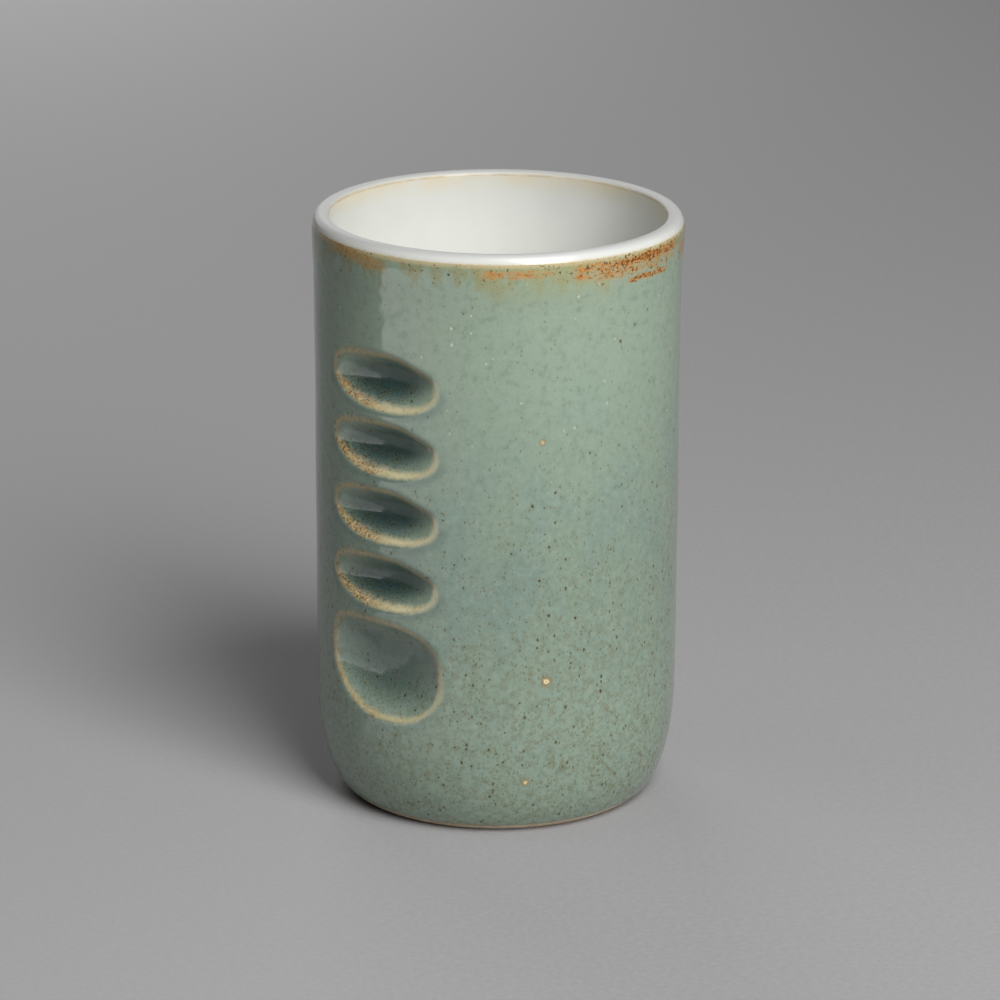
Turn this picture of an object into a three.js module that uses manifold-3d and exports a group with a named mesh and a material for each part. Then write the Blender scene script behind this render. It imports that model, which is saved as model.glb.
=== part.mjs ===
// Brush holder pot: a stoneware cylinder with a rounded base corner, five scooped finger
// hollows in a column on its -Y side, a green glaze outside and a white liner glaze inside.
//
// Millimetres, +Z up. The origin is the middle of the foot, on the surface the pot stands on.
// The coats are drawn as solids of their own, a small fit gap away from the clay they cover.

import * as THREE from 'three';
import { mergeVertices } from 'three/addons/utils/BufferGeometryUtils.js';
import Module from 'manifold-3d';

// Overall form
const potHeight = 144;
const baseCornerHeight = 26.6; // height over which the wall turns in to the foot
const baseCornerWidth = 8.8; // how far it turns in
const wallRadiusLow = 43.9; // outer radius just above the base corner
const wallRadiusHigh = 44.1; // outer radius where the lip starts to flare
const lipRadius = 44.55; // outer radius of the flared lip
const flareStart = 130; // height where the lip starts to flare
const lipHalf = 2.1; // half the lip's thickness
const lipCrest = lipRadius - lipHalf; // radius of the top of the lip
const lipOuterHeight = 4.1; // height of the rounded outer side of the lip
const lipInnerHeight = 1.6; // height of its rounded inner side
const lipInnerSquareness = 3; // 2 is an ellipse; more is flatter on top
const lipStart = potHeight - lipOuterHeight; // height where the outer side starts to round
const glazeTop = potHeight - 2.1; // height where the outer glaze meets the white one

// Inside
const cavityRadius = 35.5; // inner radius over most of the depth
const cavityEaseEnd = 104; // height below which the inside is straight
const floorHeight = 7;
const floorCorner = 10; // radius between the inside wall and the floor

// Foot
const footLine = 2.1; // height where the outer glaze stops and bare clay shows
const footRadius = 35.6; // outer edge of the ring that touches the table
const footBandRadius = 37.5; // bare clay just below the glaze edge
const footBandBottom = 1.2; // height where the foot starts to slope in to its ring
const footBandTop = 1.8;
const footRingInner = 31;
const footRecess = 1.6; // depth of the turned recess inside the foot ring
const footRecessSlope = 1.2; // how far its side slopes in

// Coats
const coat = 0.5; // thickness of each glaze coat
const fitGap = 0.3; // clearance between a coat and the clay, and between the two coats

// Finger hollows: four alike, and a larger one for the thumb below them
const hollowRadius = 44; // radius of the surface that the hollows are measured on
const fingerPitch = 16.5;
const topFingerHeight = 111.3;
const fingerHollow = { halfWidth: 16.2, halfHeight: 6.2, depth: 4.6, narrowing: 0.06, lean: 1.6 };
const thumbHollow = { halfWidth: 17.4, halfHeight: 12.2, depth: 5.4, narrowing: 0.18, lean: 2.6 };
const thumbHeight = 39.9;
const cutterLift = 1; // how far a cutter's middle stands off the surface

// Facets
const turnSegments = 60;
const cornerSteps = 6;
const lipSteps = 6;
const floorSteps = 5;
const cutterAround = 20;
const cutterAlong = 12;

const wasm = await Module();
wasm.setup();

// ---- Booleans ----

function toSolid(geometry) {
  const bare = geometry.clone();
  bare.deleteAttribute('normal');
  bare.deleteAttribute('uv');
  const merged = mergeVertices(bare, 1e-5);
  const corners = merged.index.array;
  const triangles = [];
  for (let i = 0; i < corners.length; i += 3) {
    const [a, b, c] = corners.slice(i, i + 3);
    if (a !== b && b !== c && c !== a) triangles.push(a, b, c); // none is left flat on the axis
  }
  const mesh = new wasm.Mesh({
    numProp: 3,
    vertProperties: new Float32Array(merged.attributes.position.array),
    triVerts: new Uint32Array(triangles),
  });
  return new wasm.Manifold(mesh);
}

function toGeometry(solid) {
  const { vertProperties, triVerts } = solid.getMesh();
  const geometry = new THREE.BufferGeometry();
  geometry.setAttribute('position', new THREE.BufferAttribute(vertProperties, 3));
  geometry.setIndex(new THREE.BufferAttribute(triVerts, 1));
  geometry.computeVertexNormals();
  return geometry;
}

// Turns an outline of [radius, height] points about Z. The outline runs counter-clockwise,
// from the axis at the bottom, round the outside and back to the axis.
function turned(outline) {
  const points = outline.map(([radius, height]) => new THREE.Vector2(radius, height));
  const geometry = new THREE.LatheGeometry(points, turnSegments);
  geometry.rotateX(Math.PI / 2);
  return toSolid(geometry);
}

// ---- Outlines ----

// Points on an elliptical arc from one angle to the other, in degrees from the +radius axis.
function arc(centre, radii, from, to, steps) {
  const points = [];
  for (let step = 0; step <= steps; step += 1) {
    const angle = THREE.MathUtils.degToRad(from + ((to - from) * step) / steps);
    points.push([centre[0] + radii[0] * Math.cos(angle), centre[1] + radii[1] * Math.sin(angle)]);
  }
  return points;
}

// The base corner, drawn `inset` below the finished surface, from the given height up.
function baseCorner(inset, fromHeight) {
  const radii = [baseCornerWidth - inset, baseCornerHeight - inset];
  const start = -THREE.MathUtils.radToDeg(Math.asin((baseCornerHeight - fromHeight) / radii[1]));
  const centre = [wallRadiusLow - baseCornerWidth, baseCornerHeight];
  return arc(centre, radii, start, 0, cornerSteps);
}

// The rounded outer side of the lip from one height up to another, `inset` below its surface.
function lipOutside(inset, fromHeight, toHeight) {
  const radii = [lipHalf - inset, lipOuterHeight - inset];
  const angleAt = (height) => Math.asin(Math.min(1, (height - lipStart) / radii[1]));
  const [from, to] = [fromHeight, toHeight].map((height) => THREE.MathUtils.radToDeg(angleAt(height)));
  return arc([lipCrest, lipStart], radii, from, to, lipSteps);
}

// The rounded inner side of the lip, from beside its crest down.
function lipInside(inset) {
  const radii = [lipHalf - inset, lipInnerHeight - inset];
  const round = arc([0, 0], [1, 1], 90, 180, lipSteps).slice(1);
  return round.map(([across, up]) => [
    lipCrest - radii[0] * Math.abs(across) ** (2 / lipInnerSquareness),
    potHeight - lipInnerHeight + radii[1] * Math.max(0, up) ** (2 / lipInnerSquareness),
  ]);
}

// The inside from the lip down to the middle of the floor, `inset` below its surface.
function inside(inset) {
  const cornerCentre = [cavityRadius - floorCorner, floorHeight + floorCorner];
  const cornerRadius = floorCorner + inset;
  return [
    [cavityRadius + inset, cavityEaseEnd],
    ...arc(cornerCentre, [cornerRadius, cornerRadius], 0, -90, floorSteps),
    [0, floorHeight - inset],
  ];
}

// ---- Finger hollows ----

// An ellipsoid bent round the pot, so that it leaves an even hollow in the curved wall.
function hollowCutter(shape, height, grow) {
  const unit = new THREE.SphereGeometry(1, cutterAround, cutterAlong);
  unit.rotateZ(Math.PI / 2);
  const semiDepth = shape.depth + cutterLift;
  const spread = 1 / Math.sqrt(1 - (cutterLift / semiDepth) ** 2);
  const position = unit.attributes.position;
  for (let i = 0; i < position.count; i += 1) {
    const [across, up, out] = [position.getX(i), position.getY(i), position.getZ(i)];
    const below = Math.max(0, -up);
    const width = (shape.halfWidth * spread + grow) * (1 - shape.narrowing * below * below);
    const angle = (across * width + shape.lean * below) / hollowRadius;
    const radius = hollowRadius + cutterLift + out * (semiDepth + grow);
    const rise = up * (shape.halfHeight * spread + grow);
    position.setXYZ(i, radius * Math.sin(angle), -radius * Math.cos(angle), height + rise);
  }
  return toSolid(unit);
}

function cutHollows(solid, grow) {
  let cut = solid;
  for (let finger = 0; finger < 4; finger += 1) {
    cut = cut.subtract(hollowCutter(fingerHollow, topFingerHeight - finger * fingerPitch, grow));
  }
  return cut.subtract(hollowCutter(thumbHollow, thumbHeight, grow));
}

// ---- Pieces ----

// The fired stoneware body: foot ring with a turned recess, wall, lip and floor.
function clayBody() {
  const inset = coat + fitGap;
  const outline = [
    [0, footRecess],
    [footRingInner - footRecessSlope, footRecess],
    [footRingInner, 0],
    [footRadius, 0],
    [footBandRadius, footBandBottom],
    [footBandRadius, footBandTop],
    ...baseCorner(inset, footBandTop + fitGap),
    [wallRadiusHigh - inset, flareStart],
    ...lipOutside(inset, lipStart, potHeight),
    ...lipInside(inset),
    ...inside(inset),
  ];
  return cutHollows(turned(outline), inset);
}

// The outside form as one block, `inset` below the finished surface.
function outerBlock(inset, bottom, top) {
  const outline = [
    [0, bottom],
    ...baseCorner(inset, bottom),
    [wallRadiusHigh - inset, flareStart],
    ...lipOutside(inset, lipStart, top),
    [0, top],
  ];
  return cutHollows(turned(outline), inset);
}

// The green coat: from the foot line up to the white edge of the lip, lining every hollow.
function outerGlaze() {
  return outerBlock(0, footLine, glazeTop).subtract(outerBlock(coat, coat, potHeight));
}

// The white coat: floor, inside wall, over the lip and a little way down its outside.
function linerGlaze() {
  const edge = glazeTop + fitGap;
  const outline = [
    ...inside(coat).reverse(),
    ...lipInside(coat).reverse(),
    ...lipOutside(coat, edge, potHeight).reverse(),
    ...lipOutside(0, edge, potHeight),
    ...lipInside(0),
    ...inside(0),
  ];
  return turned(outline);
}

// ---- Materials ----

const stoneware = new THREE.MeshStandardMaterial({ color: 0xc9b597, roughness: 0.85, metalness: 0 });
const celadon = new THREE.MeshStandardMaterial({ color: 0x8da491, roughness: 0.22, metalness: 0 });
const milkWhite = new THREE.MeshStandardMaterial({ color: 0xe2e1db, roughness: 0.25, metalness: 0 });

function piece(name, solid, material) {
  const mesh = new THREE.Mesh(toGeometry(solid), material);
  mesh.name = name;
  return mesh;
}

const group = new THREE.Group();
group.add(piece('clay_body', clayBody(), stoneware));
group.add(piece('outer_glaze', outerGlaze(), celadon));
group.add(piece('liner_glaze', linerGlaze(), milkWhite));

export default group;
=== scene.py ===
import math

import bpy
import numpy as np
from mathutils import Matrix, Vector


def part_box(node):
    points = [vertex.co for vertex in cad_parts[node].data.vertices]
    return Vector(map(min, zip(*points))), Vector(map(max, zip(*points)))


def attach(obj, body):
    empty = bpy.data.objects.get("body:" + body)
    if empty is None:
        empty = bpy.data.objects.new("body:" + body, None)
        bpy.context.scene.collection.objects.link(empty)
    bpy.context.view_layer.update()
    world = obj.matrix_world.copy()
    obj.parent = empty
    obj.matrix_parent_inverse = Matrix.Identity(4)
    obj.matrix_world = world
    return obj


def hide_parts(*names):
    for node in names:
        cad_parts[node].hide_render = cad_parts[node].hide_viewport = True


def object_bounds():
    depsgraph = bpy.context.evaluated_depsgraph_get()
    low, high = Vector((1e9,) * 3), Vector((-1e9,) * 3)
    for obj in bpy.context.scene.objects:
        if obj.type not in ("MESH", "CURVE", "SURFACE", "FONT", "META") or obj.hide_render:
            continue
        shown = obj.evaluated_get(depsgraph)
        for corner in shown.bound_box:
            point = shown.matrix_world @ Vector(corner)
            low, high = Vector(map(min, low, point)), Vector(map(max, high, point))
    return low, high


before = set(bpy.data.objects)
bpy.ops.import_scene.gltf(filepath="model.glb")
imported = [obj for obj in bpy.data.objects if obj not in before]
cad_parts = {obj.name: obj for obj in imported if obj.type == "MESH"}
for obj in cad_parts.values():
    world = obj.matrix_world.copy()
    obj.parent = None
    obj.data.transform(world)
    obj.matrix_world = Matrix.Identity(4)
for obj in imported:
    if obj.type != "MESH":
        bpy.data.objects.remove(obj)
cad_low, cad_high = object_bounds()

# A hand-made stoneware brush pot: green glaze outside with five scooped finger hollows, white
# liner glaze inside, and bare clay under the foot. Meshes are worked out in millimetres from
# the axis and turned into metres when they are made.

MM = 0.001

# ---- Sizes (mm) ----

LIP_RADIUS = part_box("outer_glaze")[1][0] / MM
POT_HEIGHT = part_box("liner_glaze")[1][2] / MM
FLOOR_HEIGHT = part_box("liner_glaze")[0][2] / MM + 0.5
FOOT_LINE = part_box("outer_glaze")[0][2] / MM

LIP_HALF = 2.1  # half the lip's thickness
LIP_CREST = LIP_RADIUS - LIP_HALF  # radius of the top of the lip
LIP_OUTER_HEIGHT, LIP_INNER_HEIGHT = 4.1, 1.6  # heights of its rounded outer and inner sides
LIP_INNER_SQUARENESS = 3.0  # 2 is an ellipse; more is flatter on top
LIP_START = POT_HEIGHT - LIP_OUTER_HEIGHT
INNER_START = POT_HEIGHT - LIP_INNER_HEIGHT
INNER_LINE = 0.9  # depth of the tan line at the lip's inner edge
GREEN_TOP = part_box("outer_glaze")[1][2] / MM  # where the green coat meets the white one
WALL_RADIUS_LOW = LIP_RADIUS - 0.65
WALL_RADIUS_HIGH = LIP_RADIUS - 0.45
FLARE_START = 128.0
WAIST_DEPTH, WAIST_HEIGHT, WAIST_SPREAD = 0.2, 106.0, 24.0
CORNER_HEIGHT, CORNER_WIDTH = 26.6, 8.8
MOUTH_RADIUS = LIP_RADIUS - 2 * LIP_HALF
CAVITY_RADIUS = 35.5
CAVITY_EASE_END = 104.0
FLOOR_CORNER = 10.0
FOOT_RADIUS, FOOT_BAND_RADIUS, FOOT_BAND_BOTTOM = 35.6, 37.5, 1.2
FOOT_RING_INNER, FOOT_RECESS, FOOT_RECESS_SLOPE = 31.0, 1.6, 1.2
COAT = 0.5  # thickness of a glaze coat
SEAT = 0.02  # clearance of a coat from the clay

HOLLOW_RADIUS = 44.0  # radius of the surface that the hollows are measured on
FINGERS, FINGER_PITCH, TOP_FINGER_HEIGHT = 4, 16.5, 111.3

# A hollow: half its width and height, and its depth; how much its lower half narrows and leans
# to the right; how far its floor tilts; how square its upper left is and how sharp its upper
# right; the width of its lower rim in mm, how pale that is, and how dark the glaze pools.
FINGER = dict(
    half_width=16.2, half_height=6.2, depth=4.6, narrowing=0.06, lean=1.6, tilt=0.4,
    corner=0.3, taper=0.8, rim=1.2, cream=1.0, dark=1.0,
)
THUMB = dict(
    half_width=17.4, half_height=12.2, depth=5.4, narrowing=0.18, lean=2.6, tilt=0.2,
    corner=1.5, taper=0.0, rim=1.0, cream=0.45, dark=0.6,
)
TOP_FINGER_DROP, TOP_FINGER_HALF_HEIGHT = 0.25, 6.6  # the top hollow is a little taller
HOLLOW_SQUARENESS = 2.35  # 2 is an ellipse; more is squarer
UPPER_RIM = 1.2  # width of the bare line over a hollow
THUMB_HEIGHT = 39.9

# ---- Grid of the pot ----

FINE_SECTOR = math.radians(27)  # half width of the sector that holds the hollows
FINE_STEP = 0.42  # mm between columns there
COARSE_STEP = math.radians(2.0)
CORNER_ROWS, HIGH_ROWS, BACK_ROWS = 26, 24, 64  # rows below and above the hollows, and behind
EDGE_SOFTENING = 7  # passes that round the hollows' edges
SHARP_ANGLE = math.radians(50)
POLE_RADIUS = 0.6  # radius of the last ring round the axis


def column_angles():
    """Angles round the pot from the hollows' middle, close together where the hollows are."""
    fine = int(2 * FINE_SECTOR * HOLLOW_RADIUS / FINE_STEP)
    coarse = int((2 * math.pi - 2 * FINE_SECTOR) / COARSE_STEP)
    near = np.linspace(-FINE_SECTOR, FINE_SECTOR, fine, endpoint=False)
    far = np.linspace(FINE_SECTOR, 2 * math.pi - FINE_SECTOR, coarse, endpoint=False)
    return np.concatenate([near, far])


ANGLES = column_angles()


def smooth(low, high, value):
    """0 below `low`, 1 above `high`, and an S curve between."""
    t = np.clip((value - low) / (high - low), 0, 1)
    return t * t * (3 - 2 * t)


# ---- Outside form ----


def corner_row(height, inset=0.0):
    """Radius of the base corner at a height, `inset` below the finished surface."""
    drop = (CORNER_HEIGHT - height) / (CORNER_HEIGHT - inset)
    across = np.sqrt(np.clip(1 - drop * drop, 0, 1))
    return WALL_RADIUS_LOW - CORNER_WIDTH + (CORNER_WIDTH - inset) * across


def wall_radius(height):
    """Radius of the plain wall: a slight taper, a waist, and a flare at the lip."""
    rise = np.clip((height - CORNER_HEIGHT) / (FLARE_START - CORNER_HEIGHT), 0, 1)
    plain = WALL_RADIUS_LOW + (WALL_RADIUS_HIGH - WALL_RADIUS_LOW) * rise
    flare = (LIP_RADIUS - WALL_RADIUS_HIGH) * smooth(FLARE_START, LIP_START, height)
    waist = WAIST_DEPTH * np.exp(-(((height - WAIST_HEIGHT) / WAIST_SPREAD) ** 2))
    over = np.clip((height - LIP_START) / LIP_OUTER_HEIGHT, 0, 1)
    shoulder = LIP_HALF * (1 - np.sqrt(1 - over * over))
    return plain + flare - waist - shoulder


def outer_radius(height, inset=0.0):
    """Radius of the whole outside at a height, `inset` below the finished surface."""
    corner = corner_row(height, inset)
    return np.where(height < CORNER_HEIGHT, corner, wall_radius(height) - inset)


def hand_waver(angle, height):
    """Slow unevenness of a thrown wall, none at the foot or the lip."""
    wave = (
        0.09 * np.sin(2 * angle + height / 60 + 0.7)
        + 0.06 * np.sin(3 * angle - height / 35 + 1.3)
        + 0.04 * np.sin(5 * angle + height / 21)
        + 0.03 * np.sin(height / 5.5 + 1.5 * np.sin(angle))
    )
    return wave * smooth(2, 14, height) * (1 - smooth(130, LIP_START, height))


def hollow_field(angle, height, middle, shape):
    """Depth of one hollow, distance in from its outline, and how far that edge faces down."""
    across = angle * HOLLOW_RADIUS
    up = (height - middle) / shape["half_height"]
    below = np.clip(-up, 0, 1.3)
    across = (across - shape["lean"] * below) / (1 - shape["narrowing"] * below * below)
    across = across / shape["half_width"]
    side = np.abs(across)
    upper_left = smooth(0, 0.5, up) * smooth(0, 0.5, -across)
    upper_right = smooth(0, 0.5, up) * smooth(0, 0.7, across)
    squareness = HOLLOW_SQUARENESS + shape["corner"] * upper_left - shape["taper"] * upper_right
    reach = (side**squareness + np.abs(up) ** squareness) ** (1 / squareness)
    reach = np.maximum(reach, 1e-4)
    slope_side = (side / reach) ** (squareness - 1) / shape["half_width"]
    slope_up = (np.abs(up) / reach) ** (squareness - 1) / shape["half_height"]
    slope = np.sqrt(slope_side**2 + slope_up**2)
    edge = (1 - reach) / slope
    facing = -np.sign(up) * slope_up / slope
    trough = shape["tilt"] * np.clip(across, -1, 1)
    floor_up = up - trough * (1 - np.clip(up * up, 0, 1))
    bowl = (side**squareness + np.abs(floor_up) ** squareness) ** (1 / squareness)
    depth = shape["depth"] * np.clip(1 - np.clip(bowl, 0, 1) ** 2.0, 0, 1) ** 0.9
    return np.where(reach < 1, depth, 0), edge, facing


def all_hollows(angle, height):
    """The hollows together: depth, edge distance, width and paleness of the rim, and darkness."""
    top = dict(FINGER, half_height=TOP_FINGER_HALF_HEIGHT)
    places = [(TOP_FINGER_HEIGHT - TOP_FINGER_DROP, top)]
    places += [(TOP_FINGER_HEIGHT - i * FINGER_PITCH, FINGER) for i in range(1, FINGERS)]
    places.append((THUMB_HEIGHT, THUMB))
    depth = np.zeros_like(angle)
    edge = np.full_like(angle, -1e3)
    rim = np.full_like(angle, UPPER_RIM)
    low = np.zeros_like(angle)
    pool = np.zeros_like(angle)
    for middle, shape in places:
        one_depth, one_edge, one_facing = hollow_field(angle, height, middle, shape)
        one_rim = UPPER_RIM + (shape["rim"] - UPPER_RIM) * smooth(-0.3, 0.8, one_facing)
        nearer = one_edge > edge
        depth = np.maximum(depth, one_depth)
        pool = np.maximum(pool, one_depth / FINGER["depth"] * shape["dark"])
        rim = np.where(nearer, one_rim, rim)
        low = np.where(nearer, shape["cream"] * smooth(-0.35, 0.6, one_facing), low)
        edge = np.where(nearer, one_edge, edge)
    return depth, edge, rim, low, pool


def soften(grid, passes):
    """Blends each point of a rows-by-columns grid with its neighbours, to round the edges."""
    for _ in range(passes):
        padded = np.pad(grid, ((1, 1), (0, 0)), mode="edge")
        grid = (padded[:-2] + 2 * grid + padded[2:]) / 4
        grid = (np.roll(grid, 1, 1) + 2 * grid + np.roll(grid, -1, 1)) / 4
    return grid


# ---- Mesh making ----


def signed_angle(angle):
    return (angle + math.pi) % (2 * math.pi) - math.pi


def ring_grid(radius, height):
    """Points of a rows-by-columns grid, in metres."""
    x = radius * np.sin(ANGLES)
    y = -radius * np.cos(ANGLES)
    return np.stack([x, y, np.broadcast_to(height, x.shape)], -1) * MM


def closed_faces(rows, columns):
    """Quads of a closed ring of rows; the last row joins the first."""
    row, column = np.meshgrid(np.arange(rows), np.arange(columns), indexing="ij")
    next_row, next_column = (row + 1) % rows, (column + 1) % columns
    corners = [
        row * columns + column,
        row * columns + next_column,
        next_row * columns + next_column,
        next_row * columns + column,
    ]
    return np.stack(corners, -1).reshape(-1, 4)


def capped_faces(rows, columns):
    """Quads of rows that run from one pole to another, and the fans that close both ends."""
    quads = closed_faces(rows, columns)[: (rows - 1) * columns]
    first, last = rows * columns, rows * columns + 1
    around = np.arange(columns)
    after = (around + 1) % columns
    top = (rows - 1) * columns
    start = [(first, int(b), int(a)) for a, b in zip(around, after)]
    end = [(last, int(top + a), int(top + b)) for a, b in zip(around, after)]
    return quads, start + end


def make_object(name, points, faces, material, numbers=None):
    mesh = bpy.data.meshes.new(name)
    mesh.from_pydata(points.reshape(-1, 3).tolist(), [], faces)
    mesh.update()
    mesh.shade_smooth()
    mesh.set_sharp_from_angle(angle=SHARP_ANGLE)
    for key, values in (numbers or {}).items():
        layer = mesh.attributes.new(key, "FLOAT", "POINT")
        layer.data.foreach_set("value", np.ascontiguousarray(values, np.float32).ravel())
    mesh.materials.append(material)
    obj = bpy.data.objects.new(name, mesh)
    bpy.context.collection.objects.link(obj)
    return obj


# ---- Node helpers ----


class Shader:
    """A material's node tree, with short calls for the few nodes that are used here."""

    def __init__(self, name):
        self.material = bpy.data.materials.new(name)
        self.material.use_nodes = True
        self.tree = self.material.node_tree
        self.surface = self.tree.nodes["Principled BSDF"]
        where = self.node("ShaderNodeTexCoord").outputs["Object"]
        self.place = self.vector("SCALE", where, scale=1 / MM)  # position in millimetres
        x, y, self.height = self.split(self.place)
        turn = self.math("ARCTAN2", x, self.math("MULTIPLY", y, -1.0))
        self.angle = self.math("MULTIPLY", turn, math.degrees(1))  # 0 at the hollows

    def node(self, kind, **settings):
        made = self.tree.nodes.new(kind)
        for key, value in settings.items():
            setattr(made, key, value)
        return made

    def feed(self, socket, value):
        if isinstance(value, bpy.types.NodeSocket):
            self.tree.links.new(value, socket)
        else:
            socket.default_value = value

    def math(self, operation, *values, clamp=False):
        made = self.node("ShaderNodeMath", operation=operation, use_clamp=clamp)
        for socket, value in zip(made.inputs, values):
            self.feed(socket, value)
        return made.outputs[0]

    def vector(self, operation, *values, scale=None):
        made = self.node("ShaderNodeVectorMath", operation=operation)
        for socket, value in zip(made.inputs, values):
            self.feed(socket, value)
        if scale is not None:
            self.feed(made.inputs["Scale"], scale)
        return made.outputs[0]

    def number(self, key):
        return self.node("ShaderNodeAttribute", attribute_name=key).outputs["Fac"]

    def split(self, vector):
        made = self.node("ShaderNodeSeparateXYZ")
        self.feed(made.inputs[0], vector)
        return made.outputs

    def noise(self, size, stretch=(1, 1, 1), detail=2.0, roughness=0.5, shift=0.0):
        """Noise whose features are about `size` mm, drawn out by `stretch`."""
        scale = tuple(1 / (size * part) for part in stretch)
        place = self.vector("MULTIPLY", self.place, scale)
        place = self.vector("ADD", place, (shift, shift, shift))
        made = self.node("ShaderNodeTexNoise")
        self.feed(made.inputs["Vector"], place)
        made.inputs["Scale"].default_value = 1.0
        made.inputs["Detail"].default_value = detail
        made.inputs["Roughness"].default_value = roughness
        return made.outputs["Fac"]

    def step(self, value, low, high, start=0.0, end=1.0):
        """`start` below `low`, `end` above `high`, smooth between."""
        made = self.node("ShaderNodeMapRange", interpolation_type="SMOOTHSTEP")
        for socket, part in zip(made.inputs, (value, low, high, start, end)):
            self.feed(socket, part)
        return made.outputs["Result"]

    def mix(self, amount, under, over, blend="MIX"):
        made = self.node("ShaderNodeMix", data_type="RGBA", blend_type=blend)
        made.clamp_factor = True
        for name, value in (("Factor_Float", amount), ("A_Color", under), ("B_Color", over)):
            socket = next(s for s in made.inputs if s.identifier == name)
            if not isinstance(value, (bpy.types.NodeSocket, float, int)):
                value = (*value, 1.0)
            self.feed(socket, value)
        return next(s for s in made.outputs if s.identifier == "Result_Color")

    def dots(self, cell, size, spread, keep, shift=0.0, halo=1.1):
        """Ragged dots, `size` to `size + spread` mm across, in a share `keep` of the cells.

        `halo` is how far the soft edge reaches, in the dot's radius.
        """
        place = self.vector("MULTIPLY", self.place, (1.0, 1.0, 0.72))
        place = self.vector("ADD", place, (shift, shift, shift))
        ragged = self.node("ShaderNodeTexNoise")
        self.feed(ragged.inputs["Vector"], self.place)
        ragged.inputs["Scale"].default_value = 2.2
        place = self.vector("ADD", place, self.vector("SCALE", ragged.outputs["Color"], scale=0.45))
        made = self.node("ShaderNodeTexVoronoi")
        self.feed(made.inputs["Vector"], place)
        made.inputs["Scale"].default_value = 1 / cell
        chance = self.split(made.outputs["Color"])
        distance = self.math("MULTIPLY", made.outputs["Distance"], cell)
        radius = self.math("MULTIPLY_ADD", chance[0], spread / 2, size / 2)
        solid = self.step(self.math("DIVIDE", distance, radius), 0.6, halo, 1.0, 0.0)
        kept = self.math("LESS_THAN", chance[1], keep)
        return self.math("MULTIPLY", solid, kept)

    def patch(self, depth_under, middle, half, depth, tall, slope=0.0):
        """1 in a patch `half` degrees each way from `middle`, at a depth under the rim."""
        away = self.math("SUBTRACT", self.angle, middle)
        along = self.step(self.math("ABSOLUTE", away), 0.7 * half, 1.1 * half, 1.0, 0.0)
        centre = self.math("MULTIPLY_ADD", away, slope, depth)
        off = self.math("ABSOLUTE", self.math("SUBTRACT", depth_under, centre))
        return self.math("MULTIPLY", along, self.step(off, 0.35 * tall, 1.1 * tall, 1.0, 0.0))

    def bump(self, height, distance, strength=1.0):
        made = self.node("ShaderNodeBump")
        made.inputs["Strength"].default_value = strength
        made.inputs["Distance"].default_value = distance * MM
        self.feed(made.inputs["Height"], height)
        self.feed(self.surface.inputs["Normal"], made.outputs["Normal"])


def linear(red, green, blue):
    """A colour given in 0 to 255 display values."""
    return tuple(
        part / 12.92 if part <= 0.04045 else ((part + 0.055) / 1.055) ** 2.4
        for part in (red / 255, green / 255, blue / 255)
    )


# ---- Materials ----

GLAZE_IOR = 1.5

SPOTS = (  # angle in degrees from the hollows, height, radius, how pale the middle is
    (55.7, 40.0, 0.95, 1.0),
    (49.5, 14.5, 0.65, 1.0),
    (54.0, 99.1, 0.6, 0.55),
)

DARK_DOT = (25.2, 139.4, 0.36)  # angle, height, radius

RUST = (  # middle and half width in degrees, depth under the rim, half height, slope, amount
    (89.0, 23.0, 3.0, 3.0, -0.02, 0.6),
    (89.0, 23.0, 1.9, 1.5, -0.02, 1.0),
    (93.0, 11.0, 6.5, 0.9, 0.0, 0.95),
    (72.0, 9.5, 2.6, 2.4, 0.0, 0.8),
    (46.0, 12.0, 2.3, 1.3, 0.0, 0.66),
    (-9.0, 14.0, 1.6, 1.9, 0.1, 0.8),
    (122.0, 9.0, 3.9, 2.6, 0.0, 0.6),
    (158.0, 15.0, 1.7, 2.0, 0.03, 0.85),
    (-120.0, 22.0, 1.9, 2.2, -0.03, 0.8),
    (-70.0, 9.0, 1.3, 1.4, 0.0, 0.6),
)


def spot_mask(shader, angle, height, radius):
    """Distance from a spot on the wall, in its radius: about 1 at its ragged edge."""
    turn = math.radians(angle)
    out = float(outer_radius(np.array(height)))
    centre = (out * math.sin(turn), -out * math.cos(turn), height)
    made = shader.node("ShaderNodeVectorMath", operation="DISTANCE")
    shader.feed(made.inputs[0], shader.place)
    shader.feed(made.inputs[1], centre)
    wobble = shader.noise(0.5, detail=2.0, shift=angle)
    return shader.math("DIVIDE", made.outputs["Value"], shader.math("MULTIPLY", wobble, 2 * radius))


def glaze_body(s, foot_ward):
    """The glaze away from its edges: slow clouds and a sponge-like mottling."""
    cloud = s.step(s.noise(11, stretch=(1, 1, 1.6), detail=2.0), 0.3, 0.7)
    colour = s.mix(cloud, linear(131, 152, 141), linear(138, 156, 139))
    pale_top = s.step(s.height, 62.0, 128.0, 0.0, 0.8)
    colour = s.mix(pale_top, colour, linear(153, 170, 150))
    colour = s.mix(s.step(s.height, 12.0, 60.0, 0.6, 0.0), colour, linear(151, 169, 152))
    sponge = s.noise(2.2, detail=5.0, roughness=0.68, shift=7.0)
    colour = s.mix(s.step(sponge, 0.48, 0.74, 0.0, 0.45), colour, linear(160, 176, 160))
    colour = s.mix(s.step(sponge, 0.28, 0.5, 0.45, 0.0), colour, linear(104, 124, 106))
    grain = s.noise(0.45, detail=2.0, roughness=0.7, shift=67.0)
    colour = s.mix(s.step(grain, 0.3, 0.7, 0.16, 0.0), colour, linear(104, 122, 102))
    olive = s.noise(1.5, detail=4.0, roughness=0.7, shift=27.0)
    olive = s.math("MULTIPLY", s.step(olive, 0.47, 0.64, 0.0, 0.8), foot_ward)
    return s.mix(olive, colour, linear(128, 134, 110))


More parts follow.
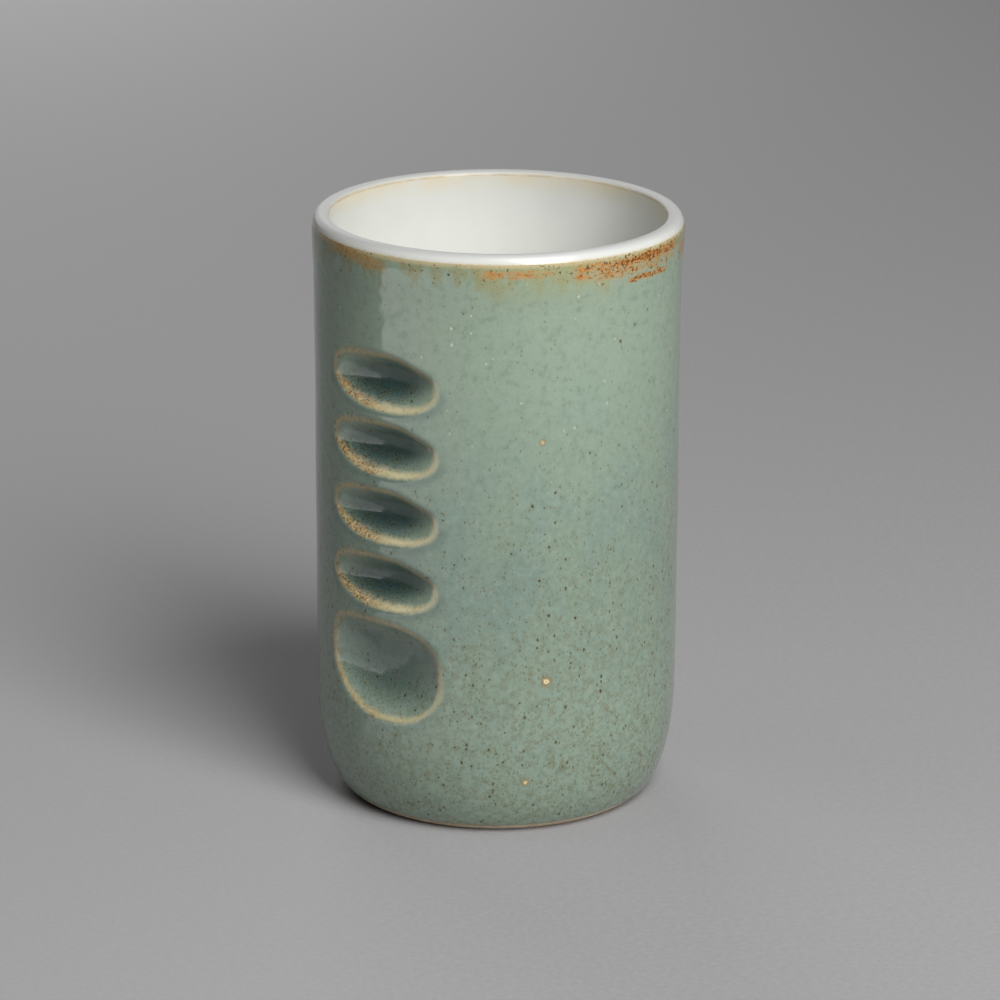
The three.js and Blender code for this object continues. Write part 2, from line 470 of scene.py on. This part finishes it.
def iron_specks(s, colour, foot_ward, pool):
    """Brown specks, more of them towards the foot and in the lower part of a hollow."""
    crowd = s.step(s.noise(4.5, detail=3.0, shift=3.0), 0.35, 0.68, 0.2, 1.7)
    crowd = s.math("MULTIPLY", crowd, s.math("MAXIMUM", foot_ward, pool))
    for cell, size, spread, keep, shift, ink, tone in (
        (1.15, 0.28, 0.42, 0.36, 0.0, 0.88, linear(62, 52, 36)),
        (0.70, 0.24, 0.20, 0.75, 31.0, 0.6, linear(94, 88, 56)),
    ):
        keep = s.math("MULTIPLY", crowd, keep)
        dot = s.dots(cell, size, spread, keep, shift)
        halo = s.dots(cell, size, spread, keep, shift, halo=2.4)
        colour = s.mix(s.math("MULTIPLY", halo, 0.42 * ink), colour, linear(118, 116, 82))
        colour = s.mix(s.math("MULTIPLY", dot, ink), colour, tone)
    return colour


def hollow_edges(s, colour):
    """Thin glaze over the hollows' edges: tan above, a wider cream and gold rim below."""
    edge, low, rim = s.number("edge"), s.number("edge_low"), s.number("rim")
    left = s.step(s.angle, -7.0, 10.0, 1.0, 0.0)
    rusty = s.noise(1.1, detail=3.0, roughness=0.65, shift=91.0)
    rusty = s.mix(s.step(rusty, 0.35, 0.62), linear(212, 182, 118), linear(158, 122, 68))
    outside = s.math("MULTIPLY", s.step(edge, -3.4, -1.2), s.step(edge, -1.0, -0.2, 0.4, 0.0))
    colour = s.mix(s.math("MULTIPLY", outside, low), colour, linear(86, 108, 104))
    streak = s.noise(0.5, stretch=(1, 1, 4), detail=3.0, roughness=0.65, shift=11.0)
    wander = s.math("MULTIPLY_ADD", s.noise(1.3, detail=4.0, roughness=0.6, shift=17.0), 1.2, -0.6)
    across = s.math("ADD", edge, wander)
    inner = s.math("DIVIDE", across, rim)
    right = s.step(s.angle, 13.0, 20.5)
    ring = s.math("MULTIPLY", s.step(across, -1.1, 0.25), s.step(inner, 0.1, 1.5, 1.0, 0.0))
    strength = s.math("MULTIPLY_ADD", low, 0.15, 0.78)
    strength = s.math("MULTIPLY", strength, s.step(streak, 0.3, 0.62, 0.7, 1.0))
    strength = s.math("MULTIPLY", strength, s.math("MULTIPLY_ADD", right, -0.35, 1.0))
    tone = s.mix(low, linear(206, 192, 146), linear(222, 208, 164))
    tone = s.mix(s.math("MULTIPLY", left, s.math("MULTIPLY_ADD", low, 0.5, 0.3)), tone, rusty)
    tone = s.mix(s.math("MULTIPLY", right, 0.7), tone, linear(196, 180, 134))
    colour = s.mix(s.math("MULTIPLY", ring, strength), colour, tone)
    crowd = s.math("MAXIMUM", low, 0.6)
    for size, ink, shift in ((0.9, linear(164, 112, 60), 23.0), (0.6, linear(72, 52, 28), 57.0)):
        grain = s.noise(size, stretch=(1, 1, 1.5), detail=2.0, roughness=0.6, shift=shift)
        bound = s.math("MULTIPLY_ADD", s.math("MULTIPLY", left, crowd), -0.14, 0.70)
        fleck = s.step(s.math("SUBTRACT", grain, bound), 0.0, 0.06)
        fleck = s.math("MULTIPLY", fleck, s.step(across, -1.2, -0.2))
        fleck = s.math("MULTIPLY", fleck, s.step(inner, 0.9, 1.9, 1.0, 0.0))
        colour = s.mix(s.math("MULTIPLY", fleck, 0.7), colour, ink)
    return colour


def rim_colours(s, colour):
    """Under the rim: an olive band with brown ticks, a painted reflection in front, a tan line, and
    rust.
    """
    wobble = s.math("MULTIPLY_ADD", s.noise(1.8, detail=4.0, roughness=0.6, shift=61.0), 2.4, -1.2)
    under = s.math("SUBTRACT", GREEN_TOP, s.height)
    rough_under = s.math("ADD", under, wobble)
    drips = s.noise(4.2, stretch=(1, 1, 3), detail=3.0, shift=44.0)
    reach = s.step(drips, 0.33, 0.68, 1.6, 9.0)
    band = s.step(s.math("SUBTRACT", rough_under, reach), -2.6, 0.8, 1.0, 0.0)
    mottle = s.step(s.noise(1.2, detail=3.0, roughness=0.65, shift=47.0), 0.35, 0.65, 0.5, 0.95)
    colour = s.mix(s.math("MULTIPLY", band, mottle), colour, linear(146, 144, 104))
    grain = s.noise(0.55, stretch=(1, 1, 2.2), detail=3.0, roughness=0.7, shift=41.0)
    tick = s.math("MULTIPLY", s.step(grain, 0.6, 0.68), band)
    colour = s.mix(s.math("MULTIPLY", tick, 0.6), colour, linear(112, 92, 54))

    # Painted reflection: a paler patch just under the rim, on the side facing between the camera
    # and the key light, stands in for the light mirrored by the glossy flare; the drip noise shapes
    # it.
    front_sheen = s.math("ABSOLUTE", s.math("SUBTRACT", s.angle, 58.0))
    front_sheen = s.step(front_sheen, 14.0, 34.0, 1.0, 0.0)
    front_sheen = s.math("MULTIPLY", front_sheen, s.step(drips, 0.3, 0.6, 0.1, 0.55))
    pale_top = s.math("MULTIPLY", s.step(rough_under, 4.5, 12.0, 1.0, 0.0), front_sheen)
    colour = s.mix(pale_top, colour, linear(160, 164, 122))

    top = s.math("ADD", under, s.math("MULTIPLY", wobble, 0.35))
    colour = s.mix(s.step(top, 0.1, 1.3, 0.8, 0.0), colour, linear(200, 184, 144))

    amount = None
    for middle, half, depth, tall, slope, strength in RUST:
        one = s.math("MULTIPLY", s.patch(rough_under, middle, half, depth, tall, slope), strength)
        amount = one if amount is None else s.math("MAXIMUM", amount, one)
    broken = s.noise(2.4, stretch=(2.4, 2.4, 0.7), detail=4.0, roughness=0.65, shift=73.0)
    amount = s.math("MULTIPLY", amount, s.step(broken, 0.32, 0.58, 0.5, 1.05))
    base = s.math("MULTIPLY", amount, 0.85)
    colour = s.mix(base, colour, linear(182, 150, 94))
    fleck = s.noise(0.7, stretch=(1.7, 1.7, 0.7), detail=5.0, roughness=0.75, shift=5.0)
    bound = s.math("MULTIPLY_ADD", amount, -0.40, 0.74)
    orange = s.step(s.math("SUBTRACT", fleck, bound), -0.10, 0.12)
    orange = s.math("MULTIPLY", orange, s.step(amount, 0.05, 0.3))
    orange = s.math("MULTIPLY", orange, s.step(s.angle, 5.0, 35.0, 0.25, 1.0))
    warm = s.step(s.noise(0.9, shift=9.0), 0.35, 0.65)
    warm = s.mix(warm, linear(170, 108, 46), linear(190, 140, 76))
    colour = s.mix(orange, colour, warm)
    near = s.math("MULTIPLY", s.math("MAXIMUM", amount, s.math("MULTIPLY", band, 0.5)), 1.3)
    near = s.math("MULTIPLY", near, s.step(s.angle, 55.0, 80.0, 0.6, 1.0))
    dark = s.noise(0.6, stretch=(1.3, 1.3, 1.0), detail=3.0, roughness=0.6, shift=87.0)
    dark = s.step(s.math("SUBTRACT", dark, s.math("MULTIPLY_ADD", near, -0.14, 0.655)), 0.0, 0.07)
    dark = s.math("MULTIPLY", dark, s.step(near, 0.05, 0.3, 0.0, 0.9))
    colour = s.mix(dark, colour, linear(92, 54, 28))
    return colour


def celadon_glaze():
    s = Shader("celadon_glaze")
    right_ward = s.step(s.math("ABSOLUTE", s.math("SUBTRACT", s.angle, 95.0)), 20.0, 90.0, 0.3, 0.0)
    foot_ward = s.step(s.height, 10.0, 118.0, 1.0, 0.06)
    foot_ward = s.math("MULTIPLY", foot_ward, s.math("ADD", right_ward, 0.85))
    pool, low = s.number("pool"), s.number("edge_low")

    colour = glaze_body(s, foot_ward)
    deep = s.math("MULTIPLY_ADD", low, 0.3, 0.85)
    deep = s.math("MULTIPLY", s.step(pool, 0.1, 0.9, 0.0, 0.74), deep)
    colour = s.mix(deep, colour, linear(44, 80, 84))
    in_hollow = s.math("MULTIPLY", s.step(pool, 0.1, 0.4), s.math("MULTIPLY_ADD", low, 1.6, 0.2))
    in_hollow = s.math("MULTIPLY", in_hollow, s.step(s.angle, -12.0, 16.0, 1.9, 0.8))
    colour = iron_specks(s, colour, foot_ward, in_hollow)
    grit = s.noise(0.42, detail=2.0, roughness=0.6, shift=103.0)
    grit = s.math("MULTIPLY", s.step(grit, 0.52, 0.62, 0.0, 0.22), in_hollow)
    colour = s.mix(grit, colour, linear(58, 58, 34))
    pinhole = s.step(s.height, 70.0, 125.0)
    pinhole = s.math("MULTIPLY", pinhole, s.step(pool, 0.0, 0.1, 1.0, 0.0))
    pale = s.math("MULTIPLY", s.dots(2.6, 0.45, 0.35, 0.30, 53.0), pinhole)
    colour = s.mix(s.math("MULTIPLY", pale, 0.75), colour, linear(206, 210, 188))
    colour = hollow_edges(s, colour)
    colour = rim_colours(s, colour)

    for angle, level, radius, paleness in SPOTS:
        reach = spot_mask(s, angle, level, radius)
        colour = s.mix(s.step(reach, 0.9, 1.9, 0.6, 0.0), colour, linear(150, 120, 70))
        middle = s.step(reach, 0.35, 0.95, paleness, 0.0)
        colour = s.mix(middle, colour, linear(238, 220, 172))
        colour = s.mix(s.step(reach, 0.1, 0.3, 0.75, 0.0), colour, linear(120, 76, 34))
    dot = spot_mask(s, *DARK_DOT)
    colour = s.mix(s.step(dot, 0.5, 1.3, 0.95, 0.0), colour, linear(58, 40, 24))

    s.feed(s.surface.inputs["Base Color"], colour)
    fine = s.noise(0.9, detail=3.0, roughness=0.65)
    s.feed(s.surface.inputs["Roughness"], s.step(fine, 0.3, 0.7, 0.07, 0.13))
    s.surface.inputs["IOR"].default_value = GLAZE_IOR
    ripple = s.noise(7.0, detail=2.0, shift=71.0)
    s.bump(s.math("MULTIPLY_ADD", fine, 0.03, ripple), 0.17)
    return s.material


def liner_glaze():
    s = Shader("white_glaze")
    cloud = s.noise(9.0, detail=3.0)
    colour = s.mix(s.step(cloud, 0.3, 0.7), linear(218, 219, 213), linear(215, 216, 210))
    fine = s.noise(1.0, detail=3.0, roughness=0.6, shift=5.0)
    colour = s.mix(s.step(fine, 0.3, 0.7, 0.0, 0.16), colour, linear(214, 215, 208))
    blush = s.math("MULTIPLY", s.number("flush"), s.step(cloud, 0.3, 0.6, 0.35, 0.95))
    colour = s.mix(blush, colour, linear(222, 212, 186))
    # Painted shade: the lip's top is mixed towards a darker grey to tone down the light it catches;
    # its glaze is as white as the rest.
    colour = s.mix(s.number("crest"), colour, linear(190, 191, 188))
    thin = s.noise(1.6, stretch=(2, 2, 1), detail=3.0, shift=19.0)
    inner = s.math("MULTIPLY", s.number("inner_lip"), s.step(thin, 0.3, 0.6, 0.2, 0.75))
    colour = s.mix(inner, colour, linear(190, 170, 134))
    worn = s.math("MULTIPLY", s.number("outer_lip"), s.step(thin, 0.3, 0.65, 0.6, 1.0))
    patchy = s.noise(0.7, stretch=(1.6, 1.6, 1), detail=3.0, roughness=0.65, shift=33.0)
    tan = s.mix(s.step(patchy, 0.36, 0.62), linear(202, 186, 150), linear(216, 206, 178))
    colour = s.mix(worn, colour, tan)
    speck = s.math("MULTIPLY", s.dots(9.0, 0.3, 0.2, 0.25, 29.0), 0.7)
    colour = s.mix(speck, colour, linear(120, 92, 60))
    s.feed(s.surface.inputs["Base Color"], colour)
    gloss = s.step(fine, 0.3, 0.7, 0.18, 0.26)
    s.feed(s.surface.inputs["Roughness"], s.math("MULTIPLY_ADD", s.number("crest"), 0.42, gloss))
    s.surface.inputs["IOR"].default_value = GLAZE_IOR
    s.bump(s.math("MULTIPLY_ADD", fine, 0.015, s.noise(8.0, detail=1.0)), 0.06)
    return s.material


def bare_clay():
    s = Shader("stoneware")
    cloud = s.noise(6.0, detail=4.0)
    colour = s.mix(s.step(cloud, 0.3, 0.7), linear(216, 202, 178), linear(200, 182, 154))
    grit = s.noise(0.5, detail=3.0, roughness=0.7, shift=3.0)
    colour = s.mix(s.step(grit, 0.35, 0.7, 0.0, 0.5), colour, linear(150, 124, 92))
    for cell, size, spread, shift in ((1.4, 0.18, 0.14, 0.0), (3.2, 0.35, 0.3, 13.0)):
        dot = s.dots(cell, size, spread, 0.5, shift)
        colour = s.mix(s.math("MULTIPLY", dot, 0.8), colour, linear(88, 58, 36))
    s.feed(s.surface.inputs["Base Color"], colour)
    s.feed(s.surface.inputs["Roughness"], s.step(grit, 0.3, 0.7, 0.7, 0.9))
    s.bump(grit, 0.12)
    return s.material


def paper_floor():
    s = Shader("paper_floor")
    grain = s.noise(1.5, detail=3.0)
    colour = s.mix(s.step(grain, 0.3, 0.7), linear(161, 160, 161), linear(166, 165, 166))
    s.feed(s.surface.inputs["Base Color"], colour)
    s.feed(s.surface.inputs["Roughness"], s.step(grain, 0.3, 0.7, 0.75, 0.85))
    s.bump(grain, 0.05)
    return s.material


# ---- Pieces ----


def outer_rows():
    """Heights of the green coat's outside rows, close together past the hollows."""
    turn = np.linspace(0, 1, CORNER_ROWS, endpoint=False) ** 1.25
    corner = FOOT_LINE + (CORNER_HEIGHT - FOOT_LINE) * turn
    fine = np.arange(CORNER_HEIGHT, TOP_FINGER_HEIGHT + 9, FINE_STEP)
    high = np.linspace(fine[-1] + 1, GREEN_TOP, HIGH_ROWS)
    return np.concatenate([corner, fine, high])


def outside_surface(heights, inset, passes):
    """Radius of the outside at `inset` below the glaze, with the hollows' numbers."""
    angle, height = np.broadcast_arrays(signed_angle(ANGLES)[None, :], heights[:, None])
    depth, edge, rim, low, pool = all_hollows(angle, height)
    depth = soften(depth, passes)
    radius = outer_radius(height, inset) + hand_waver(angle, height) - depth
    return radius, dict(pool=pool, edge=edge, rim=rim, low=low)


def glaze_numbers(info):
    """Per-point numbers that steer the green glaze's colours near the hollows."""
    return dict(
        pool=info["pool"],
        edge=np.clip(info["edge"], -9, 9),
        edge_low=info["low"],
        rim=info["rim"],
    )


def green_coat(material):
    heights = outer_rows()
    outside, info = outside_surface(heights, 0.0, EDGE_SOFTENING)
    back_heights = np.linspace(GREEN_TOP, FOOT_LINE, BACK_ROWS)
    inside, back_info = outside_surface(back_heights, COAT, 1)
    grid = np.concatenate(
        [ring_grid(outside, heights[:, None]), ring_grid(inside, back_heights[:, None])]
    )
    front, back = glaze_numbers(info), glaze_numbers(back_info)
    numbers = {key: np.concatenate([front[key], back[key]]) for key in front}
    faces = closed_faces(*grid.shape[:2])
    return make_object("green_glaze_coat", grid, faces.tolist(), material, numbers)


def inside_outline(inset):
    """Radius and height from the lip's inner side down to the middle of the floor."""
    down = np.linspace(INNER_START, FLOOR_HEIGHT + FLOOR_CORNER, 60)
    ease = smooth(CAVITY_EASE_END, INNER_START, down)
    wall = CAVITY_RADIUS + (MOUTH_RADIUS - CAVITY_RADIUS) * ease + inset
    turn = np.linspace(0, math.pi / 2, 14)[1:]
    corner = FLOOR_CORNER + inset
    corner_r = CAVITY_RADIUS - FLOOR_CORNER + corner * np.cos(turn)
    corner_z = FLOOR_HEIGHT + FLOOR_CORNER - corner * np.sin(turn)
    floor_r = np.linspace(corner_r[-1], POLE_RADIUS, 20)[1:]
    floor_z = np.full_like(floor_r, FLOOR_HEIGHT - inset)
    return np.concatenate([wall, corner_r, floor_r]), np.concatenate([down, corner_z, floor_z])


def lip_outline(inset, from_height, steps):
    """Radius and height over the lip, from a height on its outside to the end of its inside."""
    half = LIP_HALF - inset
    start = math.asin((from_height - LIP_START) / (LIP_OUTER_HEIGHT - inset))
    turn = np.linspace(start, math.pi / 2, steps)
    rise = (LIP_OUTER_HEIGHT - inset) * np.sin(turn)
    outer = LIP_CREST + half * np.cos(turn), LIP_START + rise
    turn = np.linspace(0, math.pi / 2, steps)[1:]
    power = 2 / LIP_INNER_SQUARENESS
    fall = (LIP_INNER_HEIGHT - inset) * np.clip(np.cos(turn), 0, 1) ** power
    inner = LIP_CREST - half * np.sin(turn) ** power, INNER_START + fall
    return joined(outer, inner)


def joined(*outlines):
    """Outlines of (radius, height) arrays, end to end."""
    return tuple(np.concatenate(parts) for parts in zip(*outlines))


def turned_object(name, outline, poles, material, numbers=None):
    """A closed body turned from an outline that starts and ends near the axis."""
    radius, height = outline
    grid = ring_grid(radius[:, None] * np.ones_like(ANGLES), height[:, None])
    rows, columns = grid.shape[:2]
    ends = np.array([[0, 0, poles[0]], [0, 0, poles[1]]]) * MM
    points = np.concatenate([grid.reshape(-1, 3), ends])
    quads, fans = capped_faces(rows, columns)
    full = {}
    for key, values in (numbers or {}).items():
        spread = np.broadcast_to(values[:, None], (rows, columns)).ravel()
        full[key] = np.concatenate([spread, [0.0, 0.0]])
    return make_object(name, points, quads.tolist() + fans, material, full)


def white_liner(material):
    under = inside_outline(COAT)
    under = under[0][::-1], under[1][::-1]
    over_under = lip_outline(COAT, GREEN_TOP, 12)
    over_under = over_under[0][::-1][1:], over_under[1][::-1][1:]
    over = lip_outline(0.0, GREEN_TOP, 22)
    down = inside_outline(0.0)
    down = down[0][1:], down[1][1:]
    outline = joined(under, over_under, over, down)
    radius, height = outline
    hidden = len(under[0]) + len(over_under[0])
    seen = np.arange(len(radius)) >= hidden
    outer_lip = (radius > LIP_CREST) * (1 - smooth(0.0, 0.55, height - GREEN_TOP)) * seen
    down_in = np.abs(height - (POT_HEIGHT - INNER_LINE))
    inner_lip = (radius < LIP_CREST) * (1 - smooth(0.1, 0.4, down_in)) * seen
    flush = (radius < LIP_CREST) * (1 - smooth(1.0, 6.0, POT_HEIGHT - height)) * seen
    # crest marks the lip's top, where shade is painted into the white glaze and the glaze is made
    # rougher.
    crest = smooth(POT_HEIGHT - 1.3, POT_HEIGHT - 0.1, height) * seen
    poles = (FLOOR_HEIGHT - COAT, FLOOR_HEIGHT)
    numbers = dict(outer_lip=outer_lip, inner_lip=inner_lip, flush=flush, crest=crest)
    return turned_object("white_liner_glaze", outline, poles, material, numbers)


def clay_core(material):
    """The fired clay: trimmed underside, foot band, and a hidden wall under both coats."""
    ring_step = 0.35
    recess_r = np.arange(POLE_RADIUS, FOOT_RING_INNER - FOOT_RECESS_SLOPE, ring_step)
    turning = 0.09 * np.sin(recess_r * 2.6) + 0.05 * np.sin(recess_r * 6.1)
    recess = recess_r, FOOT_RECESS + turning
    slope = np.linspace(0, 1, 6)
    side = FOOT_RING_INNER - FOOT_RECESS_SLOPE * (1 - slope), FOOT_RECESS * (1 - slope) ** 1.3
    foot_edge = np.linspace(FOOT_RING_INNER + 0.6, FOOT_RADIUS, 8)
    foot = foot_edge, np.zeros_like(foot_edge)
    bevel = np.linspace(0, 1, 7)[1:]
    slope_in = FOOT_RADIUS + (FOOT_BAND_RADIUS - FOOT_RADIUS) * bevel, FOOT_BAND_BOTTOM * bevel**1.4
    rise = np.linspace(FOOT_BAND_BOTTOM, FOOT_LINE - 0.1, 6)[1:]
    band = joined(slope_in, (FOOT_BAND_RADIUS + 0.1 * bevel[1:], rise))
    inset = COAT + SEAT
    wall_heights = np.linspace(FOOT_LINE + 0.3, LIP_START, 120)
    wall = np.zeros_like(wall_heights), wall_heights
    lip = lip_outline(inset, LIP_START, 12)
    lip = lip[0][1:], lip[1][1:]
    inner = inside_outline(inset)
    inner = inner[0][1:], inner[1][1:]
    radius, height = joined(recess, side, foot, band, wall, lip, inner)
    first = len(recess[0]) + len(side[0]) + len(foot[0]) + len(band[0])
    surface = radius[:, None] * np.ones_like(ANGLES)
    surface[first : first + len(wall_heights)] = outside_surface(wall_heights, inset, 1)[0]
    grid = ring_grid(surface, height[:, None])
    rows, columns = grid.shape[:2]
    ends = np.array([[0, 0, FOOT_RECESS], [0, 0, FLOOR_HEIGHT - inset]]) * MM
    points = np.concatenate([grid.reshape(-1, 3), ends])
    quads, fans = capped_faces(rows, columns)
    return make_object("clay_core", points, quads.tolist() + fans, material)


# ---- Stage ----

# Metres and radians, except for the lens, which is in millimetres.
CAMERA_AZIMUTH, CAMERA_ELEVATION = math.radians(40), 0.3052
CAMERA_DISTANCE, CAMERA_LENS, CAMERA_ROLL = 1.10193, 163.19, 0.005
AIM_SIDE, AIM_HEIGHT = 0.000745, 0.07164
LIGHT_DISTANCE, LIGHT_AIM_HEIGHT = 1.4, 0.07
WORLD_STRENGTH = 0.036
CARD_POWER, CARD_LIFT = 1.7, 0.001
FLOOR_HALF, FLOOR_DROP = 6.0, 0.00002  # the floor lies just under the foot, to touch nothing


def direction(azimuth, elevation):
    """Unit vector from the pot towards a place round it; azimuth 0 is towards -Y."""
    level = math.cos(elevation)
    return Vector((math.sin(azimuth) * level, -math.cos(azimuth) * level, math.sin(elevation)))


def make_camera():
    data = bpy.data.cameras.new("camera")
    data.lens = CAMERA_LENS
    data.sensor_width = 36
    data.clip_start, data.clip_end = 0.05, 30
    camera = bpy.data.objects.new("camera", data)
    bpy.context.collection.objects.link(camera)
    side = Vector((math.cos(CAMERA_AZIMUTH), math.sin(CAMERA_AZIMUTH), 0))
    aim = side * AIM_SIDE + Vector((0, 0, AIM_HEIGHT))
    back = direction(CAMERA_AZIMUTH, CAMERA_ELEVATION)
    camera.location = aim + back * CAMERA_DISTANCE
    look = (-back).to_track_quat("-Z", "Y").to_matrix().to_4x4()
    look = look @ Matrix.Rotation(CAMERA_ROLL, 4, "Z")
    camera.rotation_euler = look.to_euler()
    bpy.context.scene.camera = camera


def area_light(name, azimuth, elevation, size, power):
    """A soft light at LIGHT_DISTANCE from the pot's middle, aimed at it."""
    data = bpy.data.lights.new(name, "AREA")
    data.shape = "RECTANGLE"
    data.size, data.size_y = size
    data.energy = power
    light = bpy.data.objects.new(name, data)
    bpy.context.collection.objects.link(light)
    back = direction(math.radians(azimuth), math.radians(elevation))
    light.location = Vector((0, 0, LIGHT_AIM_HEIGHT)) + back * LIGHT_DISTANCE
    light.rotation_euler = (-back).to_track_quat("-Z", "Y").to_euler()


def make_floor():
    half = FLOOR_HALF
    mesh = bpy.data.meshes.new("floor")
    corners = [(-half, -half, 0), (half, -half, 0), (half, half, 0), (-half, half, 0)]
    mesh.from_pydata(corners, [], [(0, 1, 2, 3)])
    mesh.materials.append(paper_floor())
    floor = bpy.data.objects.new("floor", mesh)
    bpy.context.collection.objects.link(floor)
    floor.location.z = cad_low.z - FLOOR_DROP


def make_world():
    world = bpy.data.worlds.new("studio")
    world.use_nodes = True
    background = world.node_tree.nodes["Background"]
    background.inputs["Color"].default_value = (0.97, 0.98, 1.0, 1)
    background.inputs["Strength"].default_value = WORLD_STRENGTH
    bpy.context.scene.world = world


def mirror_card():
    """A white card on the table, front left, that only the glaze's mirror image shows.

    One edge points at the pot; its light fades away from that edge and near the pot.
    """
    edge_azimuth, near, far, width = math.radians(-33.5), 0.05, 0.50, 0.60
    along = direction(edge_azimuth, 0)
    aside = Vector((-along.y, along.x, 0))
    data = bpy.data.lights.new("card", "AREA")
    data.shape = "RECTANGLE"
    data.size, data.size_y = far - near, width
    data.energy = CARD_POWER
    data.use_nodes = True
    tree = data.node_tree
    place = tree.nodes.new("ShaderNodeNewGeometry")
    split = tree.nodes.new("ShaderNodeSeparateXYZ")
    tree.links.new(place.outputs["Parametric"], split.inputs[0])
    fades = (("Y", 0.25, 1.0, 0.0), ("X", 0.0, 0.16, 0.0), ("X", 0.2, 0.85, 0.3))
    light = None
    for part, start, end, low in fades:
        fade = tree.nodes.new("ShaderNodeMapRange")
        tree.links.new(split.outputs[part], fade.inputs["Value"])
        fade.inputs["From Min"].default_value = start
        fade.inputs["From Max"].default_value = end
        fade.inputs["To Min"].default_value = low
        if light is None:
            light = fade.outputs["Result"]
            continue
        both = tree.nodes.new("ShaderNodeMath")
        both.operation = "MULTIPLY"
        tree.links.new(fade.outputs["Result"], both.inputs[0])
        tree.links.new(light, both.inputs[1])
        light = both.outputs[0]
    tree.links.new(light, tree.nodes["Emission"].inputs["Strength"])
    card = bpy.data.objects.new("card", data)
    bpy.context.collection.objects.link(card)
    middle = along * (near + far) / 2 + aside * width / 2
    card.matrix_world = Matrix((
        (along.x, -aside.x, 0, middle.x),
        (along.y, -aside.y, 0, middle.y),
        (0, 0, -1, CARD_LIFT),
        (0, 0, 0, 1),
    ))
    card.visible_camera = False
    card.visible_diffuse = False


def make_lights():
    """A tall key from the front right, weak lights behind and on the left, and a mirror card."""
    area_light("key", 70, 42, (0.7, 1.2), 25.5)
    area_light("back", -122, 18, (0.8, 0.6), 4.8)
    area_light("left", -50, 60, (0.7, 0.7), 1.2)
    mirror_card()


# ---- Scene ----


def finish_piece(piece, node):
    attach(piece, "root")
    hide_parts(node)


finish_piece(green_coat(celadon_glaze()), "outer_glaze")
finish_piece(white_liner(liner_glaze()), "liner_glaze")
finish_piece(clay_core(bare_clay()), "clay_body")

make_camera()
make_floor()
make_world()
make_lights()

bpy.context.scene.view_settings.view_transform = "Standard"
